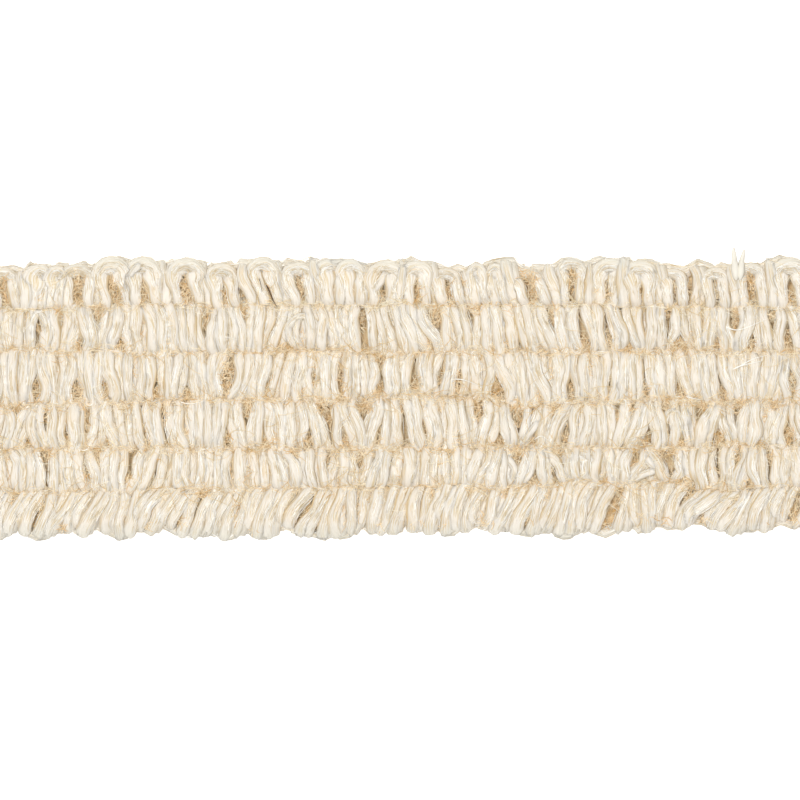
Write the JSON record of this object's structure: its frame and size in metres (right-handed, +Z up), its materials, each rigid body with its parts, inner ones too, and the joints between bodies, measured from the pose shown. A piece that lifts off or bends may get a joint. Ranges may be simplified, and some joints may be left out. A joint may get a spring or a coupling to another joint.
{
  "type": "jute tape trim",
  "caption": "Flat cut length of jute tape trim: rows of looped cream yarn lie side by side on a thin tan jute ground, held down by thin tan threads.",
  "frame": {"origin": "centre of the tape's flat underside", "axes": "+X along the tape, +Y across it towards the edge that is at the top of the picture, +Z up out of the looped face"},
  "size_m": [0.168, 0.0525, 0.005],
  "materials": {
    "cream_yarn": "matte",
    "tan_jute_ground": "matte",
    "tan_thread": "matte"
  },
  "bodies": {
    "root": {"ground": "tan_jute_ground", "yarn_row_1": "cream_yarn", "yarn_row_2": "cream_yarn", "yarn_row_3": "cream_yarn", "yarn_row_4": "cream_yarn", "yarn_row_5": "cream_yarn", "yarn_row_6": "cream_yarn", "binding_1": "tan_thread", "binding_2": "tan_thread", "binding_3": "tan_thread", "binding_4": "tan_thread", "binding_5": "tan_thread"}
  },
  "joints": []
}
